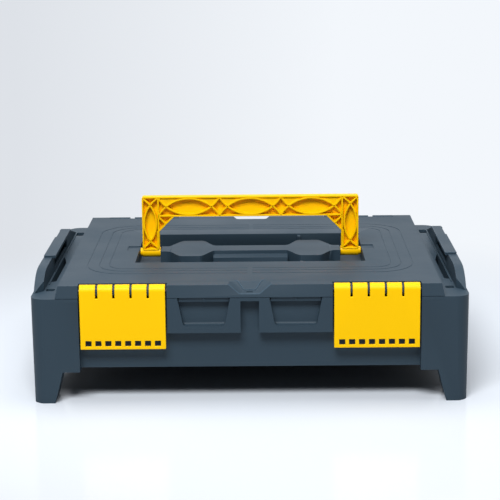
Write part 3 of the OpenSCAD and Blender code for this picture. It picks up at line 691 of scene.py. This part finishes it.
# %% Make the handle
def make_handle(plastic):
    h = {key: value * MM for key, value in HANDLE.items()}
    leg_foot = h["pivot"] + h["barrel_radius"]
    lines = handle_lines()
    modifier = lines.modifiers.new("lattice", "NODES")
    modifier.node_group = handle_tree()
    set_inputs(modifier, {
        "Rib Thickness": h["rib"], "Handle Thickness": h["thickness"], "Edge Radius": h["edge_radius"],
        "Bend Radius": h["bend_radius"], "Bar Cells": BAR_CELLS,
        "Bar Cell Half Length": h["leg_inner"] / BAR_CELLS,
        "Bar Cell Half Depth": (h["top"] - h["bar_bottom"] - h["rib"]) / 2,
        "Bar Middle": (h["top"] + h["bar_bottom"]) / 2, "Arc Gap": h["arc_gap"],
        "Leg Cell Half Length": (h["top"] - h["rib"] - leg_foot) / 2,
        "Leg Cell Half Depth": (h["half_width"] - h["leg_inner"] - h["rib"]) / 2,
        "Leg Middle": (h["half_width"] + h["leg_inner"]) / 2,
        "Leg Height": (h["top"] - h["rib"] + leg_foot) / 2,
        "Web Thickness": h["web"], "Web Set Back": h["web_behind"],
        "High Floor Depth": h["high_floor"], "Pivot Height": h["pivot"],
        "Barrel Radius": h["barrel_radius"], "Barrel Length": h["barrel_outer"] - h["barrel_inner"],
        "Barrel Middle": (h["barrel_outer"] + h["barrel_inner"]) / 2, "Boss Radius": h["boss_radius"],
        "Boss Length": h["boss_outer"] - h["barrel_outer"] + h["boss_sink"],
        "Boss Middle": (h["boss_outer"] + h["barrel_outer"] - h["boss_sink"]) / 2,
        "Bore Radius": h["bore"],
        "Plastic": plastic,
    })
    evaluated = lines.evaluated_get(bpy.context.evaluated_depsgraph_get())
    mesh = bpy.data.meshes.new_from_object(evaluated)
    mesh.name = "handle_lattice"
    bpy.data.objects.remove(lines)
    handle = bpy.data.objects.new("handle_lattice", mesh)
    bpy.context.scene.collection.objects.link(handle)
    return handle


handle = make_handle(handle_plastic[0])
smooth_between_corners(handle.data)
ready(handle, "handle", "handle_plastic", "carry_handle")

# %% [markdown]
# ## Ridges along the front notch
#
# The V-shaped notch in the lid's front edge is outlined twice by a fine raised ridge, which the mould
# forms as a groove less than a millimetre wide. It shows as a bright line, partly because its round back
# always has some part that faces the light and partly as a painted highlight, since it takes the lid's
# paler edge material. Each ridge follows a line drawn in the plan view: the tree cuts the line into short
# steps, drops every step on the lid's surface and sweeps a small circle along it, so that half of the
# circle stays sunk in the lid.

# %% Notch ridges
NOTCH_LINES = (
    ((-22.2, -173.6), (-10.0, -177.3), (10.0, -177.3), (22.2, -173.6)),
    ((-15.3, -155.5), (-6.0, -167.2), (6.0, -167.2), (15.3, -155.5)),
)
ABOVE_LID = 200 * MM
RIDGE_RADIUS, RIDGE_STEP, RIDGE_SIDES = 0.45 * MM, 0.8 * MM, 8


def notch_lines():
    """The ridges' lines in the plan view, held above the lid."""
    points = [(x * MM, y * MM, ABOVE_LID) for line in NOTCH_LINES for x, y in line]
    edges = []
    for row in range(len(NOTCH_LINES)):
        first = row * len(NOTCH_LINES[0])
        edges += [(first + i, first + i + 1) for i in range(len(NOTCH_LINES[row]) - 1)]
    mesh = bpy.data.meshes.new("notch_lines")
    mesh.from_pydata(points, edges, [])
    lines = bpy.data.objects.new("notch_lines", mesh)
    bpy.context.scene.collection.objects.link(lines)
    return lines


def ridge_tree():
    tree, given, result = new_group("notch_ridges", {
        "Surface": "NodeSocketObject", "Ridge Radius": SIZE, "Step": SIZE, "Plastic": "NodeSocketMaterial"})
    path = add(tree, "GeometryNodeMeshToCurve", Mesh=given["Lines"]).outputs["Curve"]
    steps = add(tree, "GeometryNodeResampleCurve", {"mode": "LENGTH"}, Curve=path,
                Length=given["Step"]).outputs["Curve"]
    surface = add(tree, "GeometryNodeObjectInfo", Object=given["Surface"]).outputs["Geometry"]
    drop = add(tree, "GeometryNodeRaycast", Target_Geometry=surface)
    laid = add(tree, "GeometryNodeSetPosition", Geometry=steps,
               Position=drop.outputs["Hit Position"]).outputs["Geometry"]
    circle = add(tree, "GeometryNodeCurvePrimitiveCircle", {"Resolution": RIDGE_SIDES},
                 Radius=given["Ridge Radius"]).outputs["Curve"]
    ridges = add(tree, "GeometryNodeCurveToMesh", {"Fill Caps": True}, Curve=laid,
                 Profile_Curve=circle).outputs["Mesh"]
    plain = add(tree, "GeometryNodeRealizeInstances", Geometry=ridges).outputs["Geometry"]
    coloured = add(tree, "GeometryNodeSetMaterial", Geometry=plain, Material=given["Plastic"])
    tree.links.new(coloured.outputs["Geometry"], result["Mesh"])
    return tree


def make_ridges(surface, plastic):
    lines = notch_lines()
    modifier = lines.modifiers.new("ridges", "NODES")
    modifier.node_group = ridge_tree()
    set_inputs(modifier, {"Surface": surface, "Ridge Radius": RIDGE_RADIUS, "Step": RIDGE_STEP,
                          "Plastic": plastic})
    evaluated = lines.evaluated_get(bpy.context.evaluated_depsgraph_get())
    mesh = bpy.data.meshes.new_from_object(evaluated)
    bpy.data.objects.remove(lines)
    ridges = bpy.data.objects.new("notch_ridges", mesh)
    bpy.context.scene.collection.objects.link(ridges)
    return ridges


# the ridges take the lid's paler edge material, a painted highlight
ridges = make_ridges(lid_skin, lid_plastic[1])
smooth_between_corners(ridges.data)
ready(ridges, "lid", "lid_plastic")

# %% [markdown]
# ## Table
#
# The case stands on a white table with a little gloss. Near the case the table is really lit, so it keeps
# the case's soft shadow and a faint mirror image of the feet. The even room light would grey the shade
# under the case, which is nearly black in the photograph, so there the table is painted darker and mirrors
# nothing. Farther off it runs into the pale paper of the backdrop, which shows as bright as it is written;
# its left side is painted a little greyer, as painted shade.

# %% Table
TABLE = (0.71, 0.76, 0.83, 1)
TABLE_BOUNCE = (0.30, 0.30, 0.31, 1)
# the paper's left is painted greyer than its right: painted shade
PAPER_LEFT = srgb(222, 226, 232)
PAPER_RIGHT = srgb(243, 247, 252)
PAPER_STARTS, PAPER_FULL = 0.24, 0.70
TONE_FROM, TONE_TO = -0.15, 0.05  # sideways over depth, where the paper's tone turns from left to right
VIEW_DEPTH = 1.74
MIRROR_SHARE, MIRROR_ROUGHNESS = 0.11, 0.13
TABLE_HALF = 400
FRONT_REACH = 0.035
UNDER_X, UNDER_Y = cad_box[1][0], cad_box[1][1] - FRONT_REACH
UNDER_EDGE, UNDER_SHARE = 0.02, 0.45


def make_table():
    mesh = bpy.data.meshes.new("table")
    corners = [(x * TABLE_HALF, y * TABLE_HALF, 0) for x, y in ((-1, -1), (1, -1), (1, 1), (-1, 1))]
    mesh.from_pydata(corners, [], [(0, 1, 2, 3)])
    table = bpy.data.objects.new("table", mesh)
    bpy.context.scene.collection.objects.link(table)
    material, tree = new_material("table_white")
    where = add(tree, "ShaderNodeTexCoord").outputs["Object"]
    apart = add(tree, "ShaderNodeSeparateXYZ", Vector=where)
    depth = calc(tree, "ADD", calc(tree, "ABSOLUTE", apart.outputs["Y"]), VIEW_DEPTH)
    aside = calc(tree, "DIVIDE", apart.outputs["X"], depth)
    right = add(tree, "ShaderNodeMapRange", {"From Min": TONE_FROM, "From Max": TONE_TO},
                Value=aside)
    paper = add(tree, "ShaderNodeEmission", {},
                Color=mixed_colour(tree, right.outputs["Result"], PAPER_LEFT, PAPER_RIGHT))
    across = calc(tree, "SUBTRACT", calc(tree, "ABSOLUTE", apart.outputs["X"]), UNDER_X)
    along = calc(tree, "SUBTRACT", calc(tree, "ABSOLUTE", apart.outputs["Y"]), UNDER_Y)
    clear = add(tree, "ShaderNodeMapRange", {"From Min": -UNDER_EDGE, "From Max": 0},
                Value=calc(tree, "MAXIMUM", across, along)).outputs["Result"]
    dark = [channel * UNDER_SHARE for channel in TABLE[:3]] + [1]
    shows = add_seen(tree)
    plain = add(tree, "ShaderNodeBsdfDiffuse", {},
                Color=mixed_colour(tree, shows, TABLE_BOUNCE, mixed_colour(tree, clear, dark, TABLE)))
    mirror = add(tree, "ShaderNodeBsdfGlossy", {"Roughness": MIRROR_ROUGHNESS})
    lit = add(tree, "ShaderNodeMixShader", {}, Fac=calc(tree, "MULTIPLY", clear, MIRROR_SHARE))
    tree.links.new(plain.outputs[0], lit.inputs[1])
    tree.links.new(mirror.outputs[0], lit.inputs[2])
    far = add(tree, "ShaderNodeVectorMath", {"operation": "LENGTH"}, Vector=where)
    sweep = add(tree, "ShaderNodeMapRange", {"interpolation_type": "SMOOTHSTEP", "From Min": PAPER_STARTS,
                                             "From Max": PAPER_FULL}, Value=far.outputs["Value"])
    shown = add(tree, "ShaderNodeMixShader")
    tree.links.new(calc(tree, "MULTIPLY", sweep.outputs["Result"], shows), shown.inputs[0])
    tree.links.new(lit.outputs[0], shown.inputs[1])
    tree.links.new(paper.outputs[0], shown.inputs[2])
    finish_tree(tree, shown)
    mesh.materials.append(material)


make_table()

# %% Finish
print("cad box:", cad_box)
